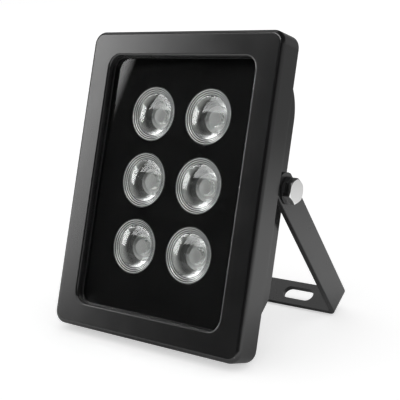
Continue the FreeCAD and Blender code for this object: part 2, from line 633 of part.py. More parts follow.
def rear_housing():
    """Finned casting that closes the frame and carries board, gland and pivots."""
    shell = housing_prism(HOUSING_HALF, FLANGE_SEAT, 0)
    side_edges = [edge for edge in shell.Edges
                  if edge.BoundBox.XLength < SAME_PLACE
                  and edge.BoundBox.YMax > FRAME_DEPTH + SAME_PLACE]
    shell = shell.makeFillet(HOUSING_SIDE_ROUND, side_edges)
    corner = RECESS_CORNER - FLANGE_FIT
    body = shell.fuse(flange_plate(0, corner, FLANGE_SEAT, FRAME_DEPTH))
    body = finned_back(body)

    inside_half = HOUSING_HALF - HOUSING_WALL
    hollow = housing_prism(inside_half, FLANGE_SEAT - HOUSING_WALL - OVERCUT, HOUSING_WALL)
    behind_floor = block(-inside_half, inside_half, HOUSING_FLOOR, FIN_REACH,
                         -FRAME_HEIGHT / 2, FRAME_HEIGHT / 2)
    body = pivot_bosses(body.cut(hollow.cut(behind_floor)))

    for x, z in driver_screw_places():
        body = body.fuse(rod_y(SMALL_SCREW_HEAD, DRIVER_BACK, HOUSING_FLOOR + OVERCUT, x, z))
        body = body.cut(rod_y(SMALL_SCREW_RADIUS + SCREW_FIT, DRIVER_BACK - OVERCUT,
                              HOUSING_FLOOR + OVERCUT, x, z))
    board_hole_end = BOARD_FRONT + BOARD_SCREW_LENGTH + SCREW_FIT
    for x, z in board_screw_places():
        body = body.cut(rod_y(SMALL_SCREW_RADIUS + SCREW_FIT, HOUSING_FLOOR - OVERCUT,
                              board_hole_end, x, z))
    for x, z in frame_screw_places():
        body = body.cut(rod_y(FRAME_SCREW_RADIUS + CLEARANCE_HOLE_GAP, FLANGE_SEAT - OVERCUT,
                              FRAME_DEPTH + OVERCUT, x, z))
    body = body.cut(rod_y(GLAND_THREAD_RADIUS, HOUSING_FLOOR - OVERCUT, GLAND_PAD_FACE + OVERCUT,
                          0, GLAND_Z))
    return body.removeSplitter()


def housing_gasket():
    """Flat seal between the ledge of the frame and the flange of the housing."""
    corner = RECESS_CORNER - FLANGE_FIT
    ring = flange_plate(0, corner, SEAL_LEDGE, FLANGE_SEAT)
    ring = ring.cut(flange_plate(HOUSING_GASKET_WIDTH, corner + HOUSING_GASKET_WIDTH,
                                 SEAL_LEDGE - OVERCUT, FLANGE_SEAT + OVERCUT))
    for x, z in frame_screw_places():
        ring = ring.cut(rod_y(FRAME_SCREW_RADIUS + CLEARANCE_HOLE_GAP, SEAL_LEDGE - OVERCUT,
                              FLANGE_SEAT + OVERCUT, x, z))
    return ring


def pan_screw(x, z, seat, length, radius, head_radius, head_height, forward):
    """A cross-head screw along Y; forward is 1 if its head points away from the viewer."""
    shank = rod_y(radius, min(seat, seat - forward * length), max(seat, seat - forward * length), x, z)
    top = seat + forward * head_height
    head = rod_y(head_radius, min(seat, top), max(seat, top), x, z)
    rim = [edge for edge in head.Edges
           if abs(edge.BoundBox.YMin - top) < SAME_PLACE and abs(edge.BoundBox.YMax - top) < SAME_PLACE]
    head = head.makeFillet(head_height * HEAD_ROUND_SHARE, rim)
    shallow, deep = sorted((top - forward * head_height / 2, top + forward * OVERCUT))
    bar = head_radius * CROSS_SHARE
    for wide, tall in ((bar, CROSS_SLOT / 2), (CROSS_SLOT / 2, bar)):
        head = head.cut(block(x - wide, x + wide, shallow, deep, z - tall, z + tall))
    return shank.fuse(head).removeSplitter()


def frame_screws():
    return Part.Compound([pan_screw(x, z, FRAME_DEPTH, FRAME_SCREW_LENGTH, FRAME_SCREW_RADIUS,
                                    FRAME_SCREW_HEAD, FRAME_SCREW_HEAD_HEIGHT, 1)
                          for x, z in frame_screw_places()])


def board_screws():
    return Part.Compound([pan_screw(x, z, BOARD_FRONT, BOARD_SCREW_LENGTH, SMALL_SCREW_RADIUS,
                                    SMALL_SCREW_HEAD, SMALL_SCREW_HEAD_HEIGHT, -1)
                          for x, z in board_screw_places()])


def driver_screws():
    length = DRIVER_THICKNESS + DRIVER_STAND
    return Part.Compound([pan_screw(x, z, DRIVER_FRONT, length, SMALL_SCREW_RADIUS,
                                    SMALL_SCREW_HEAD, SMALL_SCREW_HEAD_HEIGHT, -1)
                          for x, z in driver_screw_places()])


def driver_board():
    half = DRIVER_WIDTH / 2
    board = block(DRIVER_X - half, DRIVER_X + half, DRIVER_FRONT, DRIVER_BACK, DRIVER_BOTTOM, DRIVER_TOP)
    for x, z in driver_screw_places():
        board = board.cut(rod_y(SMALL_SCREW_RADIUS + CLEARANCE_HOLE_GAP, DRIVER_FRONT - OVERCUT,
                                DRIVER_BACK + OVERCUT, x, z))
    return board


def on_driver(size, rise):
    """A block on the driver board; size is its width, height off the board and length."""
    width, height, length = size
    z = DRIVER_BOTTOM + rise
    return block(DRIVER_X - width / 2, DRIVER_X + width / 2, DRIVER_FRONT - height, DRIVER_FRONT,
                 z - length / 2, z + length / 2)


def supply_terminal():
    """Two-way terminal with a wire funnel for each pole."""
    body = on_driver(TERMINAL_SIZE, TERMINAL_RISE)
    top = DRIVER_FRONT - TERMINAL_SIZE[1]
    for side in (-1, 1):
        body = body.cut(rod_y(TERMINAL_WIRE_RADIUS, top - OVERCUT, top + TERMINAL_WIRE_DEPTH,
                              DRIVER_X + side * TERMINAL_SPACING / 2, DRIVER_BOTTOM + TERMINAL_RISE))
    return body


def driver_capacitors():
    top = DRIVER_FRONT - CAPACITOR_HEIGHT
    return Part.Compound([rod_y(CAPACITOR_RADIUS, top, DRIVER_FRONT,
                                DRIVER_X + side * CAPACITOR_SPREAD / 2, DRIVER_BOTTOM + CAPACITOR_RISE)
                          for side in (-1, 1)])


def driver_inductor():
    """Drum choke: a waist between two flanges."""
    top = DRIVER_FRONT - INDUCTOR_HEIGHT
    points = [(0, top), (INDUCTOR_RADIUS, top), (INDUCTOR_RADIUS, top + INDUCTOR_FLANGE),
              (INDUCTOR_WAIST, top + INDUCTOR_FLANGE), (INDUCTOR_WAIST, DRIVER_FRONT - INDUCTOR_FLANGE),
              (INDUCTOR_RADIUS, DRIVER_FRONT - INDUCTOR_FLANGE), (INDUCTOR_RADIUS, DRIVER_FRONT),
              (0, DRIVER_FRONT)]
    return turned(points, DRIVER_X, DRIVER_BOTTOM + INDUCTOR_RISE)


def gland_rod(radius, y_from, y_to):
    """A cylinder on the axis of the gland."""
    return rod_y(radius, y_from, y_to, 0, GLAND_Z)


def gland_hexagon(y_from, y_to, turn_foot):
    bar = hexagon_bar(GLAND_FLATS, y_to - y_from, GLAND_CORNER_DROP, turn_foot, True)
    bar.translate(Vec(0, y_from, GLAND_Z))
    return bar


def come_tight(piece, degrees):
    """The piece turned about the axis of the gland."""
    piece.rotate(Vec(0, 0, GLAND_Z), Vec(0, 1, 0), degrees)
    return piece


def gland_o_ring():
    ring = gland_rod(GLAND_WASHER_RADIUS, GLAND_PAD_FACE, GLAND_HEX_FROM)
    return ring.cut(gland_rod(GLAND_THREAD_RADIUS, GLAND_PAD_FACE - OVERCUT, GLAND_HEX_FROM + OVERCUT))


def gland_body():
    """Threaded nipple with a hexagon and a neck that holds the cable seal."""
    start = HOUSING_FLOOR + SCREW_FIT
    body = gland_hexagon(GLAND_HEX_FROM, GLAND_HEX_TO, False)
    body = body.fuse(gland_rod(GLAND_THREAD_RADIUS - SCREW_FIT, start, GLAND_HEX_FROM))
    body = body.fuse(gland_rod(GLAND_NECK_RADIUS, GLAND_HEX_TO, GLAND_NECK_TO))
    body = body.cut(gland_rod(GLAND_BORE, start - OVERCUT, GLAND_NECK_TO + OVERCUT))
    body = body.cut(gland_rod(GLAND_SEAL_SEAT, GLAND_SEAL_FROM, GLAND_NECK_TO + OVERCUT))
    return come_tight(body.removeSplitter(), GLAND_BODY_TURN)


def gland_seal():
    sleeve = gland_rod(GLAND_SEAL_SEAT - SCREW_FIT, GLAND_SEAL_FROM, GLAND_SEAL_TO)
    return sleeve.cut(gland_rod(GLAND_SEAL_BORE, GLAND_SEAL_FROM - OVERCUT, GLAND_SEAL_TO + OVERCUT))


def gland_nut():
    """Dome nut that squeezes the seal onto the cable."""
    nut = gland_hexagon(GLAND_NUT_FROM, GLAND_NUT_TO, True)
    inside = GLAND_NECK_RADIUS + GLAND_NUT_WALL_GAP
    nut = nut.cut(gland_rod(inside, GLAND_NUT_FROM - OVERCUT, GLAND_SEAL_TO))
    nut = nut.cut(gland_rod(GLAND_NUT_BORE, GLAND_NUT_FROM, GLAND_NUT_TO + OVERCUT))
    return come_tight(nut, GLAND_NUT_TURN)


def on_side(solid, side):
    """The right-hand solid, or its mirror image for the left side."""
    if side > 0:
        return solid
    return solid.mirror(Vec(0, 0, 0), Vec(1, 0, 0))


def pivot_bolt(side):
    """Hexagon bolt through the bracket arm into the boss of the housing."""
    head = hexagon_bar(BOLT_FLATS, BOLT_HEAD_HEIGHT, BOLT_CORNER_DROP, False, True)
    head.rotate(Vec(0, 0, 0), Vec(0, 0, 1), -90)
    head.translate(Vec(BOLT_SEAT, PIVOT_DEPTH, PIVOT_RISE))
    shank = rod_x(BOLT_RADIUS, BOLT_TIP, BOLT_SEAT)
    tip_edge = [edge for edge in shank.Edges if edge.BoundBox.XMax < BOLT_TIP + SAME_PLACE]
    shank = shank.makeChamfer(BOLT_TIP_CHAMFER, tip_edge)
    return on_side(head.fuse(shank).removeSplitter(), side)


def washer(side, start, thickness):
    disc = rod_x(WASHER_RADIUS, start, start + thickness)
    bore = rod_x(BOLT_RADIUS + WASHER_BORE_GAP, start - OVERCUT, start + thickness + OVERCUT)
    return on_side(disc.cut(bore), side)


def folded_strip(outer, bend, end, start):
    """The filled outline of a U of the given half width, from start to its base at end."""
    flat = bend * (1 - HALF_CORNER)

    def at(x, y):
        return Vec(x, y, -ARM_HALF)

    edges = [
        Part.makeLine(at(outer, start), at(outer, end - bend)),
        Part.Arc(at(outer, end - bend), at(outer - flat, end - flat), at(outer - bend, end)).toShape(),
        Part.makeLine(at(outer - bend, end), at(bend - outer, end)),
        Part.Arc(at(bend - outer, end), at(flat - outer, end - flat), at(-outer, end - bend)).toShape(),
        Part.makeLine(at(-outer, end - bend), at(-outer, start)),
        Part.makeLine(at(-outer, start), at(outer, start)),
    ]
    return Part.Face(Part.Wire(edges)).extrude(Vec(0, 0, BRACKET_ARM_WIDTH))


def bracket():
    """Yoke folded from one strip: two arms with rounded ends and a slotted base.

    It is drawn with its arms along +Y from the pivot, its width along Z, and then turned
    about the pivot to the angle at which the lamp stands.
    """
    end_centre = -ARM_END_EXTRA
    tip = end_centre - ARM_HALF
    yoke = folded_strip(ARM_OUTER, BRACKET_BEND + BRACKET_SHEET, BRACKET_REACH, tip)
    long_edges = [edge for edge in yoke.Edges
                  if edge.BoundBox.ZLength < SAME_PLACE and edge.BoundBox.YMax > end_centre]
    yoke = yoke.makeFillet(STAND_EDGE_ROUND, long_edges)
    base_inside = BRACKET_REACH - BRACKET_SHEET
    yoke = yoke.cut(folded_strip(ARM_INNER, BRACKET_BEND, base_inside, tip))

    across = ARM_OUTER + OVERCUT
    ends = Part.makeCylinder(ARM_HALF, 2 * across, Vec(-across, end_centre, 0), Vec(1, 0, 0))
    rest = block(-across, across, end_centre, BRACKET_REACH + OVERCUT, -ARM_HALF, ARM_HALF)
    yoke = yoke.common(ends.fuse(rest))
    yoke = yoke.cut(Part.makeCylinder(BOLT_RADIUS + BOLT_RUNNING_GAP, 2 * across,
                                      Vec(-across, 0, 0), Vec(1, 0, 0)))

    hole_from = base_inside - OVERCUT
    hole_to = BRACKET_REACH + OVERCUT
    yoke = yoke.cut(rod_y(CENTRE_HOLE_RADIUS, hole_from, hole_to, 0, 0))
    slot_half = SLOT_WIDTH / 2
    straight = SLOT_LENGTH / 2 - slot_half
    for x in (-SLOT_X, SLOT_X):
        slot = block(x - straight, x + straight, hole_from, hole_to, -slot_half, slot_half)
        for end in (-straight, straight):
            slot = slot.fuse(rod_y(slot_half, hole_from, hole_to, x + end, 0))
        yoke = yoke.cut(slot)
    yoke = yoke.removeSplitter()
    yoke.rotate(Vec(0, 0, 0), Vec(1, 0, 0), BRACKET_ANGLE - 90)
    yoke.translate(Vec(0, PIVOT_DEPTH, PIVOT_RISE))
    return yoke


def bracket_edge(side):
    """Centre of the small round on an outer edge of the bracket's base, as (depth, rise)."""
    angle = math.radians(BRACKET_ANGLE)
    along = BRACKET_REACH - STAND_EDGE_ROUND
    across = side * (ARM_HALF - STAND_EDGE_ROUND)
    return (PIVOT_DEPTH + along * math.sin(angle) + across * math.cos(angle),
            PIVOT_RISE - along * math.cos(angle) + across * math.sin(angle))


def standing():
    """Placement that sets the lamp down: floor at Z = 0, footprint centred on the origin."""
    heel = (FRAME_DEPTH - STAND_EDGE_ROUND, STAND_EDGE_ROUND - FRAME_HEIGHT / 2)
    toe = bracket_edge(-1)
    lean = math.atan2(toe[1] - heel[1], toe[0] - heel[0])

    def stood(point):
        depth, rise = point
        return (depth * math.cos(lean) + rise * math.sin(lean),
                rise * math.cos(lean) - depth * math.sin(lean))

    chin = (FRAME_FRONT_ROUND, FRAME_FRONT_ROUND - FRAME_HEIGHT / 2)
    front = stood(chin)[0] - FRAME_FRONT_ROUND
    back = stood(bracket_edge(1))[0] + STAND_EDGE_ROUND
    floor = stood(heel)[1] - STAND_EDGE_ROUND
    turn = FreeCAD.Rotation(Vec(1, 0, 0), -math.degrees(lean))
    return FreeCAD.Placement(Vec(0, -(front + back) / 2, -floor), turn)


def make_parts():
    """Every piece in the frame of the head, by node name."""
    parts = {
        "front_frame": front_frame(),
        "glass_gasket": glass_gasket(),
        "front_glass": front_glass(),
        "mask_plate": mask_plate(),
        "led_board": board_outline(0, BOARD_FRONT, BOARD_BACK),
        "thermal_pad": board_outline(PAD_INSET, BOARD_BACK, HOUSING_FLOOR),
        "rear_housing": rear_housing(),
        "housing_gasket": housing_gasket(),
        "frame_screws": frame_screws(),
        "board_screws": board_screws(),
        "driver_board": driver_board(),
        "driver_screws": driver_screws(),
        "driver_chip": on_driver(CHIP_SIZE, CHIP_RISE),
        "driver_inductor": driver_inductor(),
        "driver_capacitors": driver_capacitors(),
        "supply_terminal": supply_terminal(),
        "gland_o_ring": gland_o_ring(),
        "gland_body": gland_body(),
        "gland_seal": gland_seal(),
        "gland_nut": gland_nut(),
        "bracket": bracket(),
    }
    for place, x, z in lens_places():
        parts["lens_" + place] = lens(x, z)
        parts["lens_holder_" + place] = lens_holder(x, z)
        parts["led_emitter_" + place] = led_emitter(x, z)
    for name, side in (("left", -1), ("right", 1)):
        parts["pivot_bolt_" + name] = pivot_bolt(side)
        parts["flat_washer_" + name] = washer(side, WASHER_FROM, FLAT_WASHER)
        parts["friction_washer_" + name] = washer(side, SIDE_FACE, FRICTION_WASHER)
    return parts


def main():
    os.makedirs("parts", exist_ok=True)
    place = standing()
    for name, shape in sorted(make_parts().items()):
        stood = shape.copy()
        stood.Placement = place.multiply(stood.Placement)
        stood.exportStep("parts/" + name + ".step")


main()
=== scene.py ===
import math
import bmesh
import bpy
from mathutils import Matrix, Vector
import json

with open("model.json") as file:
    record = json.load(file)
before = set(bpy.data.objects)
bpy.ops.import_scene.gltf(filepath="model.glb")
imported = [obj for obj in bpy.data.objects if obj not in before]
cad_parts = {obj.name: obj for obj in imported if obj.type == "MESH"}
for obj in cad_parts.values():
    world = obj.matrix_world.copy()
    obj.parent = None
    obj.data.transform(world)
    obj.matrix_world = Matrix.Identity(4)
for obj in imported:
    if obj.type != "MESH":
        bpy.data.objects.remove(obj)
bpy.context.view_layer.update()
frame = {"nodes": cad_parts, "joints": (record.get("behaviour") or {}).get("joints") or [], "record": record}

MM = 0.001
WHITE = (1.0, 1.0, 1.0)
BLACK = (0.0, 0.0, 0.0)

# Camera, at the photograph's angle
CAMERA_AZIMUTH = 38.34           # degrees from the front, to the right as one faces the lamp
CAMERA_ELEVATION = 12.62
CAMERA_ROLL = -2.79
CAMERA_AIM = Vector((1.471, 0.0, 58.537)) * MM
CAMERA_DISTANCE = 437.22 * MM
CAMERA_NEAR = 0.01
CAMERA_FAR = 100.0
SENSOR_WIDTH = 36.0
FOCAL_LENGTH = 84.20

# Directions and places that the finishes follow
MOUNTS = {mount["name"]: mount for mount in frame["record"]["mounts"]}
HEAD_BACK = Vector(MOUNTS["cable_entry"]["axis"])        # the way the back of the leaning head points
HEAD_RIGHT = Vector((1, 0, 0))
HEAD_UP = HEAD_RIGHT.cross(HEAD_BACK)
PIVOT = Vector(frame["joints"][0]["pos_m"])

# The span that the values of a noise mostly keep to
NOISE_LOW = 0.3
NOISE_HIGH = 0.7

# Lenses: radii from the axis of a lens, depths from the top of its dome
LENS_IOR = 1.49
LENS_TINT = (0.99, 0.99, 0.985)
LENS_POLISHED_DEPTH = 2.6 * MM   # the dome and the stepped ring round it lie within this
LENS_CONE_SATIN = 0.15
LENS_SATIN_BLEND = 0.2 * MM
LENS_WELL_RADIUS = 5.3 * MM      # the frosted hollow over the emitter
LENS_WELL_SATIN = 0.85
LENS_WELL_TINT = (0.70, 0.70, 0.70)
LENS_WELL_BLEND = 1.5 * MM       # its grey fades out over this, towards its edge
LENS_RINGS_FROM = 9.7 * MM       # the fine moulded rings start at the foot of the dome
LENS_RING_PITCH = 0.85 * MM
# painted shade: the dark look of the clear moulded ring steps, painted into the lens's colour
LENS_RING_PAINTED_SHADE = (0.01, 0.01, 0.01)
LENS_RING_SATIN = 0.35
LENS_RING_CLEAR = -0.6           # height of the wave across the rings up to which they are clear
LENS_RING_DARK = -0.2            # and from which they carry the full painted shade

# Cups that hold the lenses: radii from the axis of the lens
CUP_DULL = (0.06, 0.06, 0.06)
CUP_BRIGHT = (0.95, 0.95, 0.94)
CUP_DULL_TO = 7.5 * MM
CUP_BRIGHT_FROM = 10.8 * MM
CUP_ROUGHNESS = (0.30, 0.40)
CUP_GRAIN_DEPTH = 0.002 * MM

# Front glass
GLASS_IOR = 1.46
GLASS_TINT = (0.985, 0.995, 0.99)
GLASS_SMEAR_TINT = (0.970, 0.980, 0.975)

# Floor: lengths in metres, from the middle of the lamp
FLOOR_SIZE = 40.0
FLOOR_PAINT = (0.8, 0.8, 0.8)
FLOOR_ROUGHNESS = 0.9
FLOOR_LIFT = 0.52                # added light where the camera sees it
FLOOR_SHEEN = 0.30               # and where gloss and clear pieces show it
FLOOR_FAR_FROM = 0.16            # they show it dimming from here back, a painted falloff of light,
FLOOR_FAR_TO = 0.44
FLOOR_FAR_LEVEL = 0.35
FLOOR_PAINTED_SHADOW_TO = 0.045           # and darker close under the lamp, a painted shadow
FLOOR_OPEN_FROM = 0.100
FLOOR_PAINTED_SHADOW_LEVEL = 0.25

# Room: angles in degrees
AMBIENT = 0.68                   # plain light from all round
ROOM_LEVEL = 0.36                # the low part of the room, as gloss and clear pieces show it
ROOM_TO = 8.0                    # elevation up to which it is that bright
SKY_LEVEL = 0.04
SKY_FROM = 30.0                  # elevation from which it is that dark
DARK_SIDE_AZIMUTH = 22.0         # left of the front: the middle of the dark part of the room
DARK_TO = 50.0                   # turned away from there: black up to here,
LIT_FROM = 85.0                  # and lit from here on
STUDIO_REACH = 3.0               # how far away the light cards stand, in metres


def add_node(tree, kind, **settings):
    """A shader node with its settings."""
    node = tree.nodes.new(kind)
    for name, value in settings.items():
        setattr(node, name, value)
    return node


def join(tree, source, target):
    tree.links.new(source, target)


def feed(tree, value, socket):
    """A socket set to a number, or joined to another socket."""
    if isinstance(value, bpy.types.NodeSocket):
        join(tree, value, socket)
    else:
        socket.default_value = value


def noise(tree, vector, scale, detail, roughness=0.5):
    """Noise at a scale that is a number or a socket."""
    node = add_node(tree, "ShaderNodeTexNoise")
    node.inputs["Detail"].default_value = detail
    node.inputs["Roughness"].default_value = roughness
    join(tree, vector, node.inputs["Vector"])
    feed(tree, scale, node.inputs["Scale"])
    return node.outputs["Fac"]


def math_node(tree, operation, *values):
    """One operation on numbers or sockets."""
    node = add_node(tree, "ShaderNodeMath", operation=operation)
    for value, socket in zip(values, node.inputs):
        feed(tree, value, socket)
    return node.outputs["Value"]


def weigh(tree, first, second, share):
    """Two values added, the first with its share and the second with the rest."""
    return math_node(tree, "ADD",
                     math_node(tree, "MULTIPLY", first, share),
                     math_node(tree, "MULTIPLY", second, 1.0 - share))


def remap(tree, value, low, high, from_low, from_high, smooth=False):
    """The value taken from its own span to the one between low and high, and kept inside that."""
    node = add_node(tree, "ShaderNodeMapRange", interpolation_type="SMOOTHSTEP" if smooth else "LINEAR")
    node.inputs["From Min"].default_value = from_low
    node.inputs["From Max"].default_value = from_high
    node.inputs["To Min"].default_value = low
    node.inputs["To Max"].default_value = high
    join(tree, value, node.inputs["Value"])
    return node.outputs["Result"]


def spread(tree, mask, low, high):
    """A noise mask taken to the span between low and high."""
    return remap(tree, mask, low, high, NOISE_LOW, NOISE_HIGH)


def blend_colours(tree, mask, first, second):
    """Colours mixed by a mask; each colour is a tuple or a socket."""
    node = add_node(tree, "ShaderNodeMix", data_type="RGBA")
    join(tree, mask, node.inputs["Factor"])
    for name, colour in (("A", first), ("B", second)):
        socket = [s for s in node.inputs if s.name == name and s.type == "RGBA"][0]
        feed(tree, (*colour, 1.0) if isinstance(colour, tuple) else colour, socket)
    return [s for s in node.outputs if s.type == "RGBA"][0]


# Effects that several finishes share

GRAIN_MASKS = ("Height", "Gloss Change", "Tone")


def new_effect(name, made, **given):
    """An empty shader node group, with the sockets of what it is given and of what it makes.

    It is given a vector and some numbers, each with its default, and makes masks.
    """
    tree = bpy.data.node_groups.new(name, "ShaderNodeTree")
    tree.interface.new_socket(name="Vector", in_out="INPUT", socket_type="NodeSocketVector")
    for label, value in given.items():
        socket = tree.interface.new_socket(name=label, in_out="INPUT", socket_type="NodeSocketFloat")
        socket.default_value = value
    for label in made:
        tree.interface.new_socket(name=label, in_out="OUTPUT", socket_type="NodeSocketFloat")
    return tree, add_node(tree, "NodeGroupInput").outputs, add_node(tree, "NodeGroupOutput").inputs


def make_powder_skin():
    """Fine orange-peel grain of a baked powder coat."""
    tree, given, made = new_effect("powder_skin", GRAIN_MASKS, Grain=1400.0)
    vector, grain = given["Vector"], given["Grain"]
    finer_grain = math_node(tree, "MULTIPLY", grain, 2.7)
    speck_grain = math_node(tree, "MULTIPLY", grain, 1.6)
    peel = noise(tree, vector, grain, detail=1.0)
    fine = noise(tree, vector, finer_grain, detail=2.0)
    cloud = noise(tree, vector, scale=25.0, detail=4.0)
    speck = noise(tree, vector, speck_grain, detail=0.0)
    join(tree, weigh(tree, peel, fine, share=0.7), made["Height"])
    join(tree, noise(tree, vector, scale=90.0, detail=3.0), made["Gloss Change"])
    join(tree, weigh(tree, cloud, speck, share=0.6), made["Tone"])
    return tree


def make_moulded_grain():
    """Spark-eroded grain and faint flow marks of a moulded plastic or rubber piece."""
    tree, given, made = new_effect("moulded_grain", GRAIN_MASKS, Grain=3000.0)
    vector = given["Vector"]
    cells = add_node(tree, "ShaderNodeTexVoronoi", feature="SMOOTH_F1")
    join(tree, vector, cells.inputs["Vector"])
    join(tree, given["Grain"], cells.inputs["Scale"])
    join(tree, cells.outputs["Distance"], made["Height"])
    join(tree, noise(tree, vector, scale=160.0, detail=3.0), made["Gloss Change"])
    join(tree, noise(tree, vector, scale=60.0, detail=4.0), made["Tone"])
    return tree


def make_turning_marks():
    """Rings that a tool leaves on a faced or turned end, round the X axis of the given place."""
    tree, given, made = new_effect("turning_marks", GRAIN_MASKS, Rings=3600.0)
    vector = given["Vector"]
    split = add_node(tree, "ShaderNodeSeparateXYZ")
    join(tree, vector, split.inputs["Vector"])
    squares = [math_node(tree, "MULTIPLY", split.outputs[axis], split.outputs[axis]) for axis in "YZ"]
    radius = math_node(tree, "SQRT", math_node(tree, "ADD", *squares))
    along = add_node(tree, "ShaderNodeCombineXYZ")
    join(tree, radius, along.inputs["X"])
    join(tree, split.outputs["X"], along.inputs["Y"])
    rings = noise(tree, along.outputs["Vector"], given["Rings"], detail=2.0)
    join(tree, rings, made["Height"])
    join(tree, rings, made["Gloss Change"])
    join(tree, noise(tree, vector, scale=300.0, detail=4.0), made["Tone"])
    return tree


def lens_place(name):
    """The top of a lens's dome, on its axis."""
    corners = [v.co for v in frame["nodes"]["lens_" + name].data.vertices]
    place = Vector((0, 0, 0))
    for direction in (HEAD_RIGHT, HEAD_UP):
        spans = [co.dot(direction) for co in corners]
        place += direction * (min(spans) + max(spans)) / 2
    return place + HEAD_BACK * min(co.dot(HEAD_BACK) for co in corners)


def make_lens_distances():
    """How far a point lies from the axis of its own lens, and how deep behind the top of the domes.

    The lenses stand in even rows and columns, so a distance that folds back
    half way between two of them measures from the nearest one.
    """
    tree, given, made = new_effect("lens_distances", ("Radius", "Depth"))

    def along(direction, start):
        dot = add_node(tree, "ShaderNodeVectorMath", operation="DOT_PRODUCT")
        join(tree, given["Vector"], dot.inputs[0])
        dot.inputs[1].default_value = direction
        return math_node(tree, "SUBTRACT", dot.outputs["Value"], start.dot(direction))

    first = lens_place("upper_left")
    squares = []
    for direction, neighbour in ((HEAD_RIGHT, "upper_right"), (HEAD_UP, "middle_left")):
        pitch = abs((lens_place(neighbour) - first).dot(direction))
        offset = math_node(tree, "PINGPONG", along(direction, first), pitch / 2)
        squares.append(math_node(tree, "MULTIPLY", offset, offset))
    join(tree, math_node(tree, "SQRT", math_node(tree, "ADD", *squares)), made["Radius"])
    join(tree, along(HEAD_BACK, first), made["Depth"])
    return tree


POWDER_SKIN = make_powder_skin()
MOULDED_GRAIN = make_moulded_grain()
TURNING_MARKS = make_turning_marks()
LENS_DISTANCES = make_lens_distances()


def use_effect(tree, effect, vector, **values):
    """A shared effect placed in a material with its own values."""
    node = add_node(tree, "ShaderNodeGroup", node_tree=effect)
    join(tree, vector, node.inputs["Vector"])
    for name, value in values.items():
        node.inputs[name].default_value = value
    return node.outputs


def empty_finish(name):
    """A material with its output and nothing else."""
    finish = bpy.data.materials.new(name)
    finish.use_nodes = True
    tree = finish.node_tree
    tree.nodes.clear()
    return finish, tree, add_node(tree, "ShaderNodeOutputMaterial")


def new_finish(name):
    """A material with a surface shader: its tree, that shader and the place on the piece."""
    finish, tree, output = empty_finish(name)
    surface = add_node(tree, "ShaderNodeBsdfPrincipled")
    join(tree, surface.outputs["BSDF"], output.inputs["Surface"])
    place = add_node(tree, "ShaderNodeTexCoord").outputs["Object"]
    return finish, tree, surface, place


def relief(tree, surface, height, depth):
    """Bump of the given depth in metres."""
    bump = add_node(tree, "ShaderNodeBump")
    bump.inputs["Distance"].default_value = depth
    join(tree, height, bump.inputs["Height"])
    join(tree, bump.outputs["Normal"], surface.inputs["Normal"])


def grained_finish(name, effect, dark, light, roughness, depth,
                   specular=0.5, metallic=0.0, centre=None, **values):
    """A finish with a shared grain: two close tones, a span of roughness and fine relief.

    The centre is where the pattern has its middle, and the other values are the effect's own.
    """
    finish, tree, surface, place = new_finish(name)
    if centre is not None:
        mapping = add_node(tree, "ShaderNodeMapping")
        mapping.inputs["Location"].default_value = -centre
        join(tree, place, mapping.inputs["Vector"])
        place = mapping.outputs["Vector"]
    grain = use_effect(tree, effect, place, **values)
    tone = spread(tree, grain["Tone"], 0.0, 1.0)
    join(tree, blend_colours(tree, tone, dark, light), surface.inputs["Base Color"])
    join(tree, spread(tree, grain["Gloss Change"], *roughness), surface.inputs["Roughness"])
    surface.inputs["Specular IOR Level"].default_value = specular
    surface.inputs["Metallic"].default_value = metallic
    relief(tree, surface, grain["Height"], depth)
    return finish


def clear_finish(name, tint, ior):
    """Clear and solid; shadow rays pass it, so that what lies behind it is lit."""
    finish, tree, surface, place = new_finish(name)
    surface.inputs["Base Color"].default_value = (*tint, 1.0)
    surface.inputs["IOR"].default_value = ior
    surface.inputs["Transmission Weight"].default_value = 1.0
    open_way = add_node(tree, "ShaderNodeBsdfTransparent")
    open_way.inputs["Color"].default_value = (*tint, 1.0)
    either = add_node(tree, "ShaderNodeMixShader")
    join(tree, add_node(tree, "ShaderNodeLightPath").outputs["Is Shadow Ray"], either.inputs["Fac"])
    join(tree, surface.outputs["BSDF"], either.inputs[1])
    join(tree, open_way.outputs["BSDF"], either.inputs[2])
    join(tree, either.outputs["Shader"], tree.get_output_node("ALL").inputs["Surface"])
    return finish, tree, surface, place


# Finishes of this lamp's pieces

def casting_coat():
    return grained_finish("casting_coat", POWDER_SKIN, Grain=1500.0,
                          dark=(0.0055, 0.0055, 0.0057), light=(0.0075, 0.0075, 0.0078),
                          roughness=(0.20, 0.23), depth=0.005 * MM, specular=1.0)


def bracket_coat():
    return grained_finish("bracket_coat", POWDER_SKIN, Grain=1700.0,
                          dark=(0.026, 0.026, 0.0265), light=(0.032, 0.032, 0.0325),
                          roughness=(0.24, 0.28), depth=0.005 * MM, specular=0.85)


def bolt_steel():
    return grained_finish("bolt_steel", TURNING_MARKS, centre=PIVOT,
                          dark=(0.95, 0.95, 0.95), light=(0.98, 0.98, 0.97),
                          roughness=(0.14, 0.22), depth=0.004 * MM, metallic=1.0)


def screw_steel():
    return grained_finish("screw_steel", MOULDED_GRAIN,
                          dark=(0.50, 0.50, 0.50), light=(0.62, 0.62, 0.62),
                          roughness=(0.24, 0.34), depth=0.003 * MM, metallic=1.0)


def washer_black():
    return grained_finish("washer_black", TURNING_MARKS, centre=PIVOT,
                          dark=(0.02, 0.02, 0.021), light=(0.03, 0.03, 0.031),
                          roughness=(0.32, 0.42), depth=0.003 * MM, metallic=0.3)


def friction_nylon():
    return grained_finish("friction_nylon", MOULDED_GRAIN,
                          dark=(0.012, 0.012, 0.012), light=(0.018, 0.018, 0.018),
                          roughness=(0.45, 0.55), depth=0.004 * MM)


def gland_nylon():
    return grained_finish("gland_nylon", MOULDED_GRAIN,
                          dark=(0.011, 0.011, 0.011), light=(0.017, 0.017, 0.017),
                          roughness=(0.40, 0.52), depth=0.006 * MM)


def seal_rubber():
    return grained_finish("seal_rubber", MOULDED_GRAIN,
                          dark=(0.010, 0.010, 0.010), light=(0.015, 0.015, 0.015),
                          roughness=(0.60, 0.72), depth=0.004 * MM)


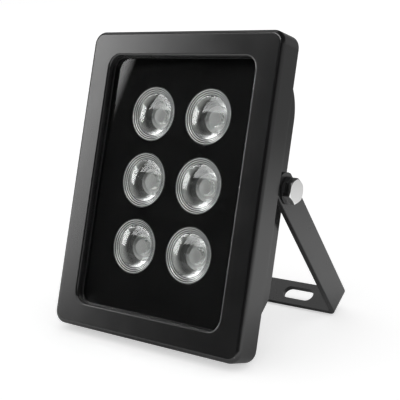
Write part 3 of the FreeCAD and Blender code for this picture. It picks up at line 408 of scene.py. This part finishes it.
def mask_black():
    return grained_finish("mask_black", MOULDED_GRAIN,
                          dark=(0.0050, 0.0050, 0.0050), light=(0.0060, 0.0060, 0.0060),
                          roughness=(0.55, 0.65), depth=0.003 * MM, specular=0.0)


def holder_silver():
    """Bright on the wall of the cup and duller on its floor round the emitter."""
    finish, tree, surface, place = new_finish("holder_silver")
    grain = use_effect(tree, MOULDED_GRAIN, place)
    radius = use_effect(tree, LENS_DISTANCES, place)["Radius"]
    wall = remap(tree, radius, 0.0, 1.0, CUP_DULL_TO, CUP_BRIGHT_FROM, smooth=True)
    join(tree, blend_colours(tree, wall, CUP_DULL, CUP_BRIGHT), surface.inputs["Base Color"])
    join(tree, spread(tree, grain["Gloss Change"], *CUP_ROUGHNESS), surface.inputs["Roughness"])
    surface.inputs["Metallic"].default_value = 1.0
    relief(tree, surface, grain["Height"], CUP_GRAIN_DEPTH)
    return finish


def emitter():
    return grained_finish("emitter", MOULDED_GRAIN,
                          dark=(0.05, 0.049, 0.046), light=(0.07, 0.068, 0.065),
                          roughness=(0.25, 0.35), depth=0.002 * MM)


def led_board_white():
    return grained_finish("led_board_white", MOULDED_GRAIN,
                          dark=(0.70, 0.71, 0.71), light=(0.80, 0.81, 0.81),
                          roughness=(0.30, 0.40), depth=0.002 * MM)


def heat_pad():
    return grained_finish("heat_pad", MOULDED_GRAIN,
                          dark=(0.26, 0.30, 0.36), light=(0.32, 0.36, 0.42),
                          roughness=(0.65, 0.80), depth=0.010 * MM)


def driver_board_green():
    return grained_finish("driver_board_green", MOULDED_GRAIN, Grain=2200.0,
                          dark=(0.004, 0.040, 0.014), light=(0.006, 0.060, 0.022),
                          roughness=(0.25, 0.35), depth=0.004 * MM)


def component_black():
    return grained_finish("component_black", MOULDED_GRAIN,
                          dark=(0.010, 0.010, 0.010), light=(0.016, 0.016, 0.016),
                          roughness=(0.42, 0.55), depth=0.004 * MM)


def capacitor_can():
    return grained_finish("capacitor_can", MOULDED_GRAIN,
                          dark=(0.60, 0.60, 0.61), light=(0.70, 0.70, 0.71),
                          roughness=(0.28, 0.38), depth=0.002 * MM, metallic=1.0)


def terminal_green():
    return grained_finish("terminal_green", MOULDED_GRAIN,
                          dark=(0.010, 0.110, 0.035), light=(0.014, 0.140, 0.045),
                          roughness=(0.40, 0.50), depth=0.004 * MM)


def window_glass():
    """Polished, with faint wiped smears that only tint it."""
    finish, tree, surface, place = clear_finish("window_glass", GLASS_TINT, GLASS_IOR)
    cloud = noise(tree, place, scale=45.0, detail=5.0, roughness=0.65)
    smear = remap(tree, cloud, 0.0, 1.0, from_low=0.45, from_high=0.75)
    join(tree, blend_colours(tree, smear, GLASS_TINT, GLASS_SMEAR_TINT), surface.inputs["Base Color"])
    surface.inputs["Roughness"].default_value = 0.0
    return finish


def lens_clear():
    """A polished dome in fine frosted rings darkened by painted shade, a satin cone behind it and a frosted
    well over the emitter.
    """
    finish, tree, surface, place = clear_finish("lens_clear", LENS_TINT, LENS_IOR)
    distances = use_effect(tree, LENS_DISTANCES, place)
    radius, depth = distances["Radius"], distances["Depth"]

    # Satin behind the domed side
    behind = remap(tree, depth, 0.0, 1.0, LENS_POLISHED_DEPTH, LENS_POLISHED_DEPTH + LENS_SATIN_BLEND)
    satin = remap(tree, radius, LENS_WELL_SATIN, LENS_CONE_SATIN,
                  LENS_WELL_RADIUS, LENS_WELL_RADIUS + LENS_SATIN_BLEND)
    well = remap(tree, radius, 1.0, 0.0, LENS_WELL_RADIUS - LENS_WELL_BLEND, LENS_WELL_RADIUS, smooth=True)

    # Fine rings between the dome and the rim: frosted, with painted shade in dark bands
    band = math_node(tree, "MULTIPLY",
                     math_node(tree, "GREATER_THAN", radius, LENS_RINGS_FROM),
                     math_node(tree, "LESS_THAN", depth, LENS_POLISHED_DEPTH))
    outwards = math_node(tree, "SUBTRACT", radius, LENS_RINGS_FROM)
    wave = math_node(tree, "SINE", math_node(tree, "MULTIPLY", outwards, 2 * math.pi / LENS_RING_PITCH))
    # painted shade: the wave darkens the lens's colour in bands across the rings
    rings = math_node(tree, "MULTIPLY", remap(tree, wave, 0.0, 1.0, LENS_RING_CLEAR, LENS_RING_DARK), band)

    rough = math_node(tree, "MAXIMUM",
                      math_node(tree, "MULTIPLY", satin, behind),
                      math_node(tree, "MULTIPLY", band, LENS_RING_SATIN))
    join(tree, rough, surface.inputs["Roughness"])
    clear = blend_colours(tree, math_node(tree, "MULTIPLY", well, behind), LENS_TINT, LENS_WELL_TINT)
    # the rings' painted shade goes into the base colour here
    join(tree, blend_colours(tree, rings, clear, LENS_RING_PAINTED_SHADE), surface.inputs["Base Color"])
    return finish


FINISHES = [casting_coat, bracket_coat, bolt_steel, screw_steel, washer_black, friction_nylon, gland_nylon,
            seal_rubber, mask_black, holder_silver, emitter, led_board_white, heat_pad, driver_board_green,
            component_black, capacitor_can, terminal_green, window_glass, lens_clear]


def finish_nodes():
    """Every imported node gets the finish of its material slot."""
    made = {maker.__name__: maker() for maker in FINISHES}
    for part in frame["record"]["subparts"]:
        for slot in frame["nodes"][part["node"]].material_slots:
            slot.material = made[part["material_slot"]]


# Studio

def add_object(name, data):
    """A new object in the scene."""
    added = bpy.data.objects.new(name, data)
    bpy.context.scene.collection.objects.link(added)
    return added


def flat_sheet(name, corners, finish):
    """A four-cornered sheet with a UV map from its first corner to its third."""
    shape = bmesh.new()
    across = shape.loops.layers.uv.new("across_sheet")
    face = shape.faces.new([shape.verts.new(corner) for corner in corners])
    for loop, place in zip(face.loops, ((0, 0), (1, 0), (1, 1), (0, 1))):
        loop[across].uv = place
    mesh = bpy.data.meshes.new(name)
    shape.to_mesh(mesh)
    shape.free()
    mesh.materials.append(finish)
    return add_object(name, mesh)


def dimmed(tree, level, fades):
    """A level that fades out towards the four edges of a sheet."""
    split = add_node(tree, "ShaderNodeSeparateXYZ")
    join(tree, add_node(tree, "ShaderNodeTexCoord").outputs["UV"], split.inputs["Vector"])
    near_x, far_x, near_y, far_y = fades
    for axis, near, far in (("X", near_x, far_x), ("Y", near_y, far_y)):
        if near:
            edge = remap(tree, split.outputs[axis], 0.0, 1.0, 0.0, near, smooth=True)
            level = math_node(tree, "MULTIPLY", edge, level)
        if far:
            edge = remap(tree, split.outputs[axis], 1.0, 0.0, 1.0 - far, 1.0, smooth=True)
            level = math_node(tree, "MULTIPLY", edge, level)
    return level


def softbox(name, corners, strength, fades=None, on_gloss=True, through_glass=True):
    """A card of light that the camera doesn't see.

    With on_gloss the coats, the metal outside and the face of the front glass show it,
    and with through_glass the lenses and cups behind that glass do. The fades are the shares
    of its width and height over which it dims: at its first side, its second, its foot and its top.
    """
    finish, tree, output = empty_finish(name)
    glow = add_node(tree, "ShaderNodeEmission")
    feed(tree, dimmed(tree, strength, fades) if fades else strength, glow.inputs["Strength"])
    join(tree, glow.outputs["Emission"], output.inputs["Surface"])
    card = flat_sheet(name, corners, finish)
    card.visible_camera = False
    card.visible_diffuse = False
    card.visible_glossy = on_gloss
    card.visible_transmission = through_glass
    card.visible_shadow = False


def upright_softbox(name, azimuths, elevations, strength, **settings):
    """A softbox that stands between two azimuths, in degrees left of the front, and two elevations.

    Its first side is the right one, as one faces the lamp.
    """
    (left, right), (low, high) = azimuths, elevations
    middle = math.radians((left + right) / 2)
    out = Vector((-math.sin(middle), -math.cos(middle), 0))
    across = Vector((out.y, -out.x, 0)) * math.tan(math.radians(left - right) / 2)
    centre = Vector((0, 0, CAMERA_AIM.z))
    corners = [centre + STUDIO_REACH * (out + side * across + Vector((0, 0, math.tan(math.radians(e)))))
               for side, e in ((-1, low), (1, low), (1, high), (-1, high))]
    softbox(name, corners, strength, **settings)


def overhead_softbox(name, x_span, y_span, strength):
    """A level softbox above the lamp; its spans are shares of its height."""
    (left, right), (front, back) = x_span, y_span
    corners = [STUDIO_REACH * Vector((x, y, 1.0))
               for x, y in ((left, front), (right, front), (right, back), (left, back))]
    softbox(name, corners, strength)


def studio_lights():
    """Two cards for the lenses and cups alone, two for the outside alone, and one for both."""
    # The small window in each dome
    upright_softbox("window_softbox", azimuths=(78.0, 62.0), elevations=(4.0, 22.0), strength=16.0,
                    on_gloss=False)
    # The front of the frame, and the glare on the glass
    upright_softbox("front_left_softbox", azimuths=(62.0, 46.1), elevations=(-1.0, 42.0), strength=3.85,
                    fades=(0.05, 0.0, 0.20, 0.40), through_glass=False)
    # Edges that turn upwards
    upright_softbox("high_softbox", azimuths=(47.0, -10.0), elevations=(42.0, 54.0), strength=4.0,
                    through_glass=False)
    # The cups
    upright_softbox("cup_softbox", azimuths=(56.0, -40.0), elevations=(32.0, 68.0), strength=7.0,
                    on_gloss=False)
    # Faces that look upwards
    overhead_softbox("top_softbox", x_span=(-1.4, -0.2), y_span=(-0.15, 0.45), strength=0.7)


def mirror_rays(tree, path):
    """1 on the rays by which gloss and clear pieces show what is round them."""
    return math_node(tree, "MAXIMUM", path.outputs["Is Glossy Ray"], path.outputs["Is Transmission Ray"])


def studio_floor():
    """A large pale floor that reads as white and keeps the lamp's shadow; gloss and clear pieces see it with
    painted light dimming further back and a painted shadow close under the lamp.
    """
    finish, tree, surface, place = new_finish("floor_paint")
    surface.inputs["Roughness"].default_value = FLOOR_ROUGHNESS
    surface.inputs["Specular IOR Level"].default_value = 0.0
    surface.inputs["Emission Color"].default_value = (*WHITE, 1.0)
    split = add_node(tree, "ShaderNodeSeparateXYZ")
    join(tree, place, split.inputs["Vector"])
    # painted falloff: the floor's light, as gloss and clear pieces show it, dims further back
    far = remap(tree, split.outputs["Y"], 1.0, FLOOR_FAR_LEVEL, FLOOR_FAR_FROM, FLOOR_FAR_TO)
    distance = add_node(tree, "ShaderNodeVectorMath", operation="LENGTH")
    join(tree, place, distance.inputs[0])
    # painted shadow close under the lamp, as gloss and clear pieces show the floor
    painted_shadow_under = remap(tree, distance.outputs["Value"], FLOOR_PAINTED_SHADOW_LEVEL, 1.0, FLOOR_PAINTED_SHADOW_TO, FLOOR_OPEN_FROM)
    level = math_node(tree, "MULTIPLY", far, painted_shadow_under)

    path = add_node(tree, "ShaderNodeLightPath")
    mirrored = mirror_rays(tree, path)
    seen = math_node(tree, "MULTIPLY", path.outputs["Is Camera Ray"], FLOOR_LIFT)
    sheen = math_node(tree, "MULTIPLY", math_node(tree, "MULTIPLY", mirrored, FLOOR_SHEEN), level)
    join(tree, math_node(tree, "ADD", seen, sheen), surface.inputs["Emission Strength"])
    # painted shade: for gloss and clear pieces the floor's paint goes towards black where its painted light
    # is lower
    painted_shadow_and_falloff = math_node(tree, "MULTIPLY", mirrored, math_node(tree, "SUBTRACT", 1.0, level))
    join(tree, blend_colours(tree, painted_shadow_and_falloff, FLOOR_PAINT, BLACK), surface.inputs["Base Color"])

    half = FLOOR_SIZE / 2
    corners = [(x * half, y * half, 0) for x, y in ((-1, -1), (1, -1), (1, 1), (-1, 1))]
    floor = flat_sheet("studio_floor", corners, finish)


def studio_world():
    """White to the camera, plain soft light all round, and to gloss a room dark in front and above."""
    world = bpy.data.worlds.new("studio")
    bpy.context.scene.world = world
    world.use_nodes = True
    tree = world.node_tree
    tree.nodes.clear()
    direction = add_node(tree, "ShaderNodeTexCoord").outputs["Generated"]
    towards = add_node(tree, "ShaderNodeVectorMath", operation="DOT_PRODUCT")
    join(tree, direction, towards.inputs[0])
    azimuth = math.radians(DARK_SIDE_AZIMUTH)
    towards.inputs[1].default_value = (-math.sin(azimuth), -math.cos(azimuth), 0.0)
    lit_edge, dark_edge = (math.cos(math.radians(angle)) for angle in (LIT_FROM, DARK_TO))
    side = remap(tree, towards.outputs["Value"], 1.0, 0.0, lit_edge, dark_edge, smooth=True)
    split = add_node(tree, "ShaderNodeSeparateXYZ")
    join(tree, direction, split.inputs["Vector"])
    room_edge, sky_edge = (math.sin(math.radians(angle)) for angle in (ROOM_TO, SKY_FROM))
    height = remap(tree, split.outputs["Z"], ROOM_LEVEL, SKY_LEVEL, room_edge, sky_edge, smooth=True)

    path = add_node(tree, "ShaderNodeLightPath")
    level = add_node(tree, "ShaderNodeMix", data_type="FLOAT")
    join(tree, mirror_rays(tree, path), level.inputs["Factor"])
    level.inputs["A"].default_value = AMBIENT
    join(tree, math_node(tree, "MULTIPLY", side, height), level.inputs["B"])
    background = add_node(tree, "ShaderNodeBackground")
    background.inputs["Color"].default_value = (*WHITE, 1.0)
    strength = math_node(tree, "MAXIMUM", level.outputs["Result"], path.outputs["Is Camera Ray"])
    join(tree, strength, background.inputs["Strength"])
    output = add_node(tree, "ShaderNodeOutputWorld")
    join(tree, background.outputs["Background"], output.inputs["Surface"])


def studio_camera():
    """The photograph's camera, aimed at the lamp from the front right."""
    data = bpy.data.cameras.new("photo_camera")
    data.sensor_width = SENSOR_WIDTH
    data.lens = FOCAL_LENGTH
    data.clip_start = CAMERA_NEAR
    data.clip_end = CAMERA_FAR
    azimuth, elevation = math.radians(CAMERA_AZIMUTH), math.radians(CAMERA_ELEVATION)
    level = Vector((math.sin(azimuth), -math.cos(azimuth), 0))
    back = level * math.cos(elevation) + Vector((0, 0, math.sin(elevation)))
    turn = back.to_track_quat("Z", "Y").to_matrix() @ Matrix.Rotation(math.radians(CAMERA_ROLL), 3, "Z")
    camera = add_object("photo_camera", data)
    camera.matrix_world = Matrix.Translation(CAMERA_AIM + back * CAMERA_DISTANCE) @ turn.to_4x4()
    bpy.context.scene.camera = camera


finish_nodes()
studio_floor()
studio_world()
studio_camera()
studio_lights()
bpy.context.scene.view_settings.view_transform = "Standard"
